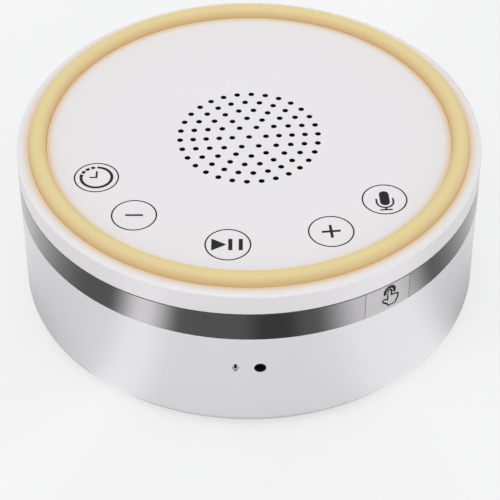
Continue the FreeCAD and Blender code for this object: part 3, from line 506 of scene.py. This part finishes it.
def dress_nodes():
    """Gives every carried-over node the finish of its slot."""
    slots = {row["node"]: row["material_slot"] for row in frame["record"]["subparts"]}
    for name, node in frame["nodes"].items():
        finish = HOUSING if name == "lower_housing" else FINISHES[slots[name]]
        node.data.materials.clear()
        node.data.materials.append(finish)


# Printed signs: outlines laid on a key or on the curved wall, and painted shade in ink round each key's edge

# The ink's height, and how far its underside lies in the surface
INK_HEIGHT = 0.03
INK_SINK = 0.002

# Direction, anticlockwise from +x as seen from above, and height of the small sign beside the microphone
# hole and of the hand on the touch plate
MICROPHONE_MARK = (-93.2, 21.0)
HAND_MARK = (-54.9, 35.2)

# Section of the painted shade round a key's edge, a dark band in ink over its rounded edge and down its side
# into the gap: out from the key's radius, and up from its top
KEY_GAP_SHADE = ((-0.13, 0.0), (-0.08, -0.018), (-0.01, -0.085), (0.016, -0.2), (0.016, -0.6),
            (-0.04, -0.6), (-0.04, -0.2), (-0.10, -0.08))


def bar(x, y, width, height):
    """Four corners of an upright bar about a centre."""
    w, h = width / 2, height / 2
    return [(x - w, y - h), (x + w, y - h), (x + w, y + h), (x - w, y + h)]


def arc_points(x, y, radius, start, end, count):
    """Points along an arc, whose start and end are in degrees."""
    step = (end - start) / count
    return [(x + radius * math.cos(math.radians(start + i * step)),
             y + radius * math.sin(math.radians(start + i * step))) for i in range(count + 1)]


def band_of(points, width):
    """Strokes of one width along a line, as quadrilaterals that share their ends."""
    quads = []
    for a, b in zip(points, points[1:]):
        along = Vector((b[0] - a[0], b[1] - a[1])).normalized() * width / 2
        side = Vector((-along.y, along.x))
        quads.append([(a[0] + side.x, a[1] + side.y), (a[0] - side.x, a[1] - side.y),
                      (b[0] - side.x, b[1] - side.y), (b[0] + side.x, b[1] + side.y)])
    for first, second in zip(quads, quads[1:]):
        for j, k in ((3, 0), (2, 1)):
            middle = ((first[j][0] + second[k][0]) / 2, (first[j][1] + second[k][1]) / 2)
            first[j] = middle
            second[k] = middle
    return quads


def turned(shapes, degrees):
    """Outlines turned about the sign's centre, anticlockwise from above."""
    c, s = math.cos(math.radians(degrees)), math.sin(math.radians(degrees))
    return [[(x * c - y * s, x * s + y * c) for x, y in outline] for outline in shapes]


def add_piece(name, mesh, finish, body):
    """Makes an object of a bmesh and lets it ride on a body."""
    data = bpy.data.meshes.new(name)
    mesh.to_mesh(data)
    mesh.free()
    data.materials.append(finish)
    piece = bpy.data.objects.new(name, data)
    bpy.context.scene.collection.objects.link(piece)
    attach(piece, body)
    return piece


def printed(name, shapes, lay, body):
    """Mesh of thin raised ink from flat outlines. Lay maps (x, y, height) to a point."""
    mesh = bmesh.new()
    for outline in shapes:
        lower = [mesh.verts.new(lay(x, y, 0.0)) for x, y in outline]
        upper = [mesh.verts.new(lay(x, y, INK_HEIGHT)) for x, y in outline]
        mesh.faces.new(upper)
        mesh.faces.new(list(reversed(lower)))
        for i in range(len(outline)):
            j = (i + 1) % len(outline)
            mesh.faces.new((lower[i], lower[j], upper[j], upper[i]))
    bmesh.ops.remove_doubles(mesh, verts=mesh.verts, dist=1e-7)
    bmesh.ops.recalc_face_normals(mesh, faces=mesh.faces)
    return add_piece(name, mesh, PRINT_AND_GAP_SHADE_INK, body)


def key_signs():
    """Outlines of each key's sign about the key's centre."""
    dial, thin = 3.9, 0.46
    ring = band_of(arc_points(0, 0, dial, -180, 90, 60), 0.74)
    dashes = [band_of(arc_points(0, 0, dial, 90 + s, 90 + s + 15, 4), 0.85) for s in (8, 30, 52, 74)]
    timer = ring + [quad for dash in dashes for quad in dash]
    timer += band_of([(0, 0), (0, 2.4)], 0.48) + band_of([(0.24, 0), (-1.75, 0)], 0.48)
    plus = [bar(0, 0, 4.7, 0.7), bar(0, 1.35, 0.7, 2.0), bar(0, -1.35, 0.7, 2.0)]
    play = [[(-4.05, -2.17), (-0.35, 0), (-4.05, 2.17)], bar(0.6, 0, 1.0, 4.1), bar(3.15, 0, 1.0, 4.1)]
    capsule = arc_points(0, 1.85, 1.22, 0, 180, 16) + arc_points(0, -1.05, 1.22, 180, 360, 16)
    cradle = band_of([(-2.1, 0.3)] + arc_points(0, -1.0, 2.1, 180, 360, 24) + [(2.1, 0.3)], thin)
    stand = [bar(0, -3.45, thin, 0.9), bar(0, -3.95, 3.1, thin)]
    return {"timer": timer, "minus": [bar(0, 0, 4.4, 0.62)], "play": play, "plus": turned(plus, 6.0),
            "microphone": turned([capsule] + cradle + stand, 4.0)}


def circle(mesh, centre, radius, height):
    """Vertices of a level circle, all in metres."""
    turns = [math.tau * i / CIRCLE_STEPS for i in range(CIRCLE_STEPS)]
    return [mesh.verts.new((centre[0] + radius * math.cos(turn), centre[1] + radius * math.sin(turn), height))
            for turn in turns]


def bridge(mesh, first, second):
    """Faces between two circles."""
    for i in range(CIRCLE_STEPS):
        j = (i + 1) % CIRCLE_STEPS
        mesh.faces.new((first[i], second[i], second[j], first[j]))


def paint_key_gap_shade(name, centre, top):
    """Painted shade of the gap round a key: a dark band in ink over its rounded edge and down its side."""
    mesh = bmesh.new()
    lines = [circle(mesh, centre, (KEY_RADIUS + out) * MM, top + up * MM) for out, up in KEY_GAP_SHADE]
    for here, there in zip(lines, lines[1:] + lines[:1]):
        bridge(mesh, here, there)
    bmesh.ops.recalc_face_normals(mesh, faces=mesh.faces)
    return add_piece(name + "_gap_shade", mesh, PRINT_AND_GAP_SHADE_INK, name + "_button")


def on_key(centre, top):
    """Way to lay an outline on a key's flat top."""
    def lay(x, y, up):
        return Vector((centre.x + x * MM, centre.y + y * MM, top + (up - INK_SINK) * MM))
    return lay


def print_keys():
    """Prints every key's sign and lays the painted shade round its edge."""
    for name, shapes in key_signs().items():
        low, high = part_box(name + "_key")
        centre = (low + high) / 2
        printed(name + "_sign", shapes, on_key(centre, high.z), name + "_button")
        paint_key_gap_shade(name, centre, high.z)


def on_wall(direction, height):
    """Way to lay an outline on the case's outer wall about a direction and a height."""
    def lay(x, y, up):
        turn = math.radians(direction) + x / BODY_RADIUS
        radius = (BODY_RADIUS + up - INK_SINK) * MM
        return Vector((radius * math.cos(turn), radius * math.sin(turn), (height + y) * MM))
    return lay


def microphone_mark():
    """Small plain microphone sign beside the microphone hole."""
    half, arm, thin = 0.38, 0.72, 0.17
    capsule = arc_points(0, 0.75, half, 0, 180, 12) + arc_points(0, 0.0, half, 180, 360, 12)
    cradle = band_of([(-arm, 0.3)] + arc_points(0, 0.0, arm, 180, 360, 16) + [(arm, 0.3)], thin)
    return [capsule] + cradle + [bar(0, -0.95, thin, 0.4), bar(0, -1.2, 1.0, thin)]


def hand_sign():
    """Pointing hand drawn as an outline, with part of a ring round its fingertip."""
    tip, stroke = (-0.2, 1.35), 0.5
    ring = band_of(arc_points(*tip, 1.45, -30, 210, 28), 0.85)
    finger = [(-0.75, -1.0), (-0.75, 1.35)] + arc_points(*tip, 0.55, 180, 0, 10) + [(0.35, -0.2)]
    knuckles = [(0.35, -0.2), (0.75, -0.05), (1.1, -0.25), (1.45, -0.1), (1.85, -0.4), (2.15, -0.3),
                (2.5, -0.75)]
    palm = [(2.5, -0.75), (2.45, -1.8), (1.9, -2.75), (1.7, -3.3), (-0.4, -3.3), (-0.8, -2.6), (-2.0, -1.6),
            (-2.35, -1.0), (-1.9, -0.65), (-1.35, -0.85), (-0.75, -1.45), (-0.75, -1.0)]
    return ring + band_of(finger, stroke) + band_of(knuckles, stroke) + band_of(palm, stroke)


# Floor, light and camera

# The floor's half width, height and colour, and the white that it shows where it is seen directly,
# mirrored or through glass, with the share of that white
FLOOR_HALF = 3000.0
FLOOR_HEIGHT = -0.04
FLOOR_GREY = (0.90, 0.90, 0.90)
FLOOR_SHOWN = (0.95, 0.95, 0.95, 1.0)
FLOOR_SHARE = 0.65

# Cards that lie flat round the case, where its bright plating mirrors them:
# direction (0 to the camera, 90 to the right), half width, soft edge, and brightness
CARDS = (
    (-36.2, 0.5, 13.0, 1.10),
    (-110.0, 10.0, 42.0, 0.56),
    (8.5, 3.0, 9.0, -0.09),
    (46.5, 6.5, 18.5, 0.90),
    (114.0, 10.0, 38.0, 0.52),
    (164.0, 3.0, 14.0, 1.1),
    (-160.0, 10.0, 22.0, 0.6),
)
# Brightness between the cards and past them, the radii between which the second takes over, and the
# radii and the height of the ring that they make
CARD_SHADE = 0.165
CARD_PALE = 0.9
CARD_FADE = (220.0, 420.0)
CARD_RADII = (20.0, 420.0)
CARD_HEIGHT = -0.02

# The sky's colour and strength, and what is added where it is seen directly, mirrored or through glass
SKY_COLOUR = (0.98, 0.99, 1.0, 1.0)
SKY_STRENGTH = 0.72
SKY_SHOWN = 0.185

# Lights: name, direction as for the cards, elevation, strength, spread, and whether gloss mirrors them
LIGHTS = (
    ("overhead_light", -20.0, 70.0, 0.46, 50.0, True),
    ("front_fill", 12.0, 26.0, 0.30, 80.0, False),
    ("left_fill", -80.0, 14.0, 0.48, 60.0, False),
    ("right_fill", 74.0, 14.0, 0.44, 60.0, False),
)

# The camera's place in metres, its tilt up from straight down, and its lens, sensor and near end
CAMERA_PLACE = (0.00022, -0.41809, 0.38463)
CAMERA_TILT = 47.798
CAMERA_LENS = 149.66
CAMERA_SENSOR = 36.0
CAMERA_NEAR = 10.0


def shown_directly(tree):
    """1 for rays that see the surroundings directly, in a mirror or through glass."""
    path = tree.nodes.new("ShaderNodeLightPath")
    seen = maths(tree, "MAXIMUM", path.outputs["Is Camera Ray"], path.outputs["Is Glossy Ray"])
    return maths(tree, "MAXIMUM", seen, path.outputs["Is Transmission Ray"])


def floor():
    """Pale floor just below the feet, which keeps the case's shadow."""
    side, low = FLOOR_HALF * MM, FLOOR_HEIGHT * MM
    corners = [(-side, -side, low), (side, -side, low), (side, side, low), (-side, side, low)]
    mesh = bpy.data.meshes.new("studio_floor")
    mesh.from_pydata(corners, [], [(0, 1, 2, 3)])
    plane = bpy.data.objects.new("studio_floor", mesh)
    bpy.context.scene.collection.objects.link(plane)
    finish = Finish("pale studio floor", FLOOR_GREY, 0.14, IOR=1.6)
    tree = finish.tree
    skin = finish.group("skin", Grain_size_mm=3.0, Mark_size_mm=200.0)
    finish.vary_roughness(skin["Marks"], 0.05)
    finish.feed("Base Color", finish.varied_colour(skin["Tone"], FAINT_SHADE))
    white = add_node(tree, "ShaderNodeEmission", None, Color=FLOOR_SHOWN)
    share = maths(tree, "MULTIPLY", shown_directly(tree), FLOOR_SHARE)
    faded = add_node(tree, "ShaderNodeMixShader", None, in_0=share, in_1=finish.shader.outputs[0],
                     in_2=white.outputs[0])
    tree.links.new(faded.outputs[0], tree.nodes["Material Output"].inputs["Surface"])
    mesh.materials.append(finish.material)


def card_brightness(tree):
    """Brightness of the cards: a low shade, the cards, and pale towards the outer edge."""
    parts = add_node(tree, "ShaderNodeSeparateXYZ", None, Vector=place(tree))
    turn = maths(tree, "ARCTAN2", parts.outputs[0], maths(tree, "MULTIPLY", parts.outputs[1], -1.0))
    total = CARD_SHADE
    for middle, half, soft, brightness in CARDS:
        off = maths(tree, "SUBTRACT", turn, math.radians(middle))
        wrapped = add_node(tree, "ShaderNodeMath", {"operation": "WRAP"},
                           in_0=off, in_1=math.pi, in_2=-math.pi)
        away = maths(tree, "ABSOLUTE", wrapped.outputs[0])
        card = stepped(tree, away, math.radians(half + soft), math.radians(half))
        total = maths(tree, "ADD", total, maths(tree, "MULTIPLY", card, brightness))
    radius, _ = radius_and_height(tree)
    pale = maths(tree, "SUBTRACT", CARD_PALE, total)
    return maths(tree, "ADD", total, maths(tree, "MULTIPLY", pale, stepped(tree, radius, *CARD_FADE)))


def studio_cards():
    """Ring of pale and dark cards round the foot of the case. They give no light: only gloss mirrors them."""
    finish = bpy.data.materials.new("studio card")
    finish.use_nodes = True
    tree = finish.node_tree
    tree.nodes.remove(tree.nodes["Principled BSDF"])
    shown = add_node(tree, "ShaderNodeEmission", None, Strength=card_brightness(tree))
    tree.links.new(shown.outputs[0], tree.nodes["Material Output"].inputs["Surface"])
    mesh = bmesh.new()
    inner, outer = [circle(mesh, (0.0, 0.0), radius * MM, CARD_HEIGHT * MM) for radius in CARD_RADII]
    bridge(mesh, inner, outer)
    data = bpy.data.meshes.new("studio_cards")
    mesh.to_mesh(data)
    mesh.free()
    data.materials.append(finish)
    ring = bpy.data.objects.new("studio_cards", data)
    for kind in ("camera", "diffuse", "transmission", "volume_scatter", "shadow"):
        setattr(ring, "visible_" + kind, False)
    bpy.context.scene.collection.objects.link(ring)


def world():
    """Even pale sky, a little brighter where it is seen than where it lights."""
    sky = bpy.data.worlds.new("pale studio")
    sky.use_nodes = True
    tree = sky.node_tree
    background = tree.nodes["Background"]
    background.inputs["Color"].default_value = SKY_COLOUR
    strength = maths(tree, "ADD", maths(tree, "MULTIPLY", shown_directly(tree), SKY_SHOWN), SKY_STRENGTH)
    tree.links.new(strength, background.inputs["Strength"])
    bpy.context.scene.world = sky


def sun(name, direction, elevation, strength, spread, mirrored):
    """Broad soft light from a direction and an elevation."""
    data = bpy.data.lights.new(name, "SUN")
    data.energy = strength
    data.angle = math.radians(spread)
    lamp = bpy.data.objects.new(name, data)
    turn, up = math.radians(direction), math.radians(elevation)
    towards = Vector((math.sin(turn) * math.cos(up), -math.cos(turn) * math.cos(up), math.sin(up)))
    lamp.rotation_euler = towards.to_track_quat("Z", "Y").to_euler()
    lamp.visible_glossy = mirrored
    bpy.context.scene.collection.objects.link(lamp)


def camera():
    """Camera at the photograph's viewing angle."""
    data = bpy.data.cameras.new("photo_view")
    data.lens = CAMERA_LENS
    data.sensor_width = CAMERA_SENSOR
    data.clip_start = CAMERA_NEAR * MM
    view = bpy.data.objects.new("photo_view", data)
    view.location = CAMERA_PLACE
    view.rotation_euler = (math.radians(CAMERA_TILT), 0.0, 0.0)
    bpy.context.scene.collection.objects.link(view)
    bpy.context.scene.camera = view


dress_nodes()
print_keys()
printed("microphone_mark", microphone_mark(), on_wall(*MICROPHONE_MARK), "case")
printed("hand_sign", hand_sign(), on_wall(*HAND_MARK), "case")
floor()
studio_cards()
world()
for light in LIGHTS:
    sun(*light)
camera()
bpy.context.scene.view_settings.view_transform = "Standard"
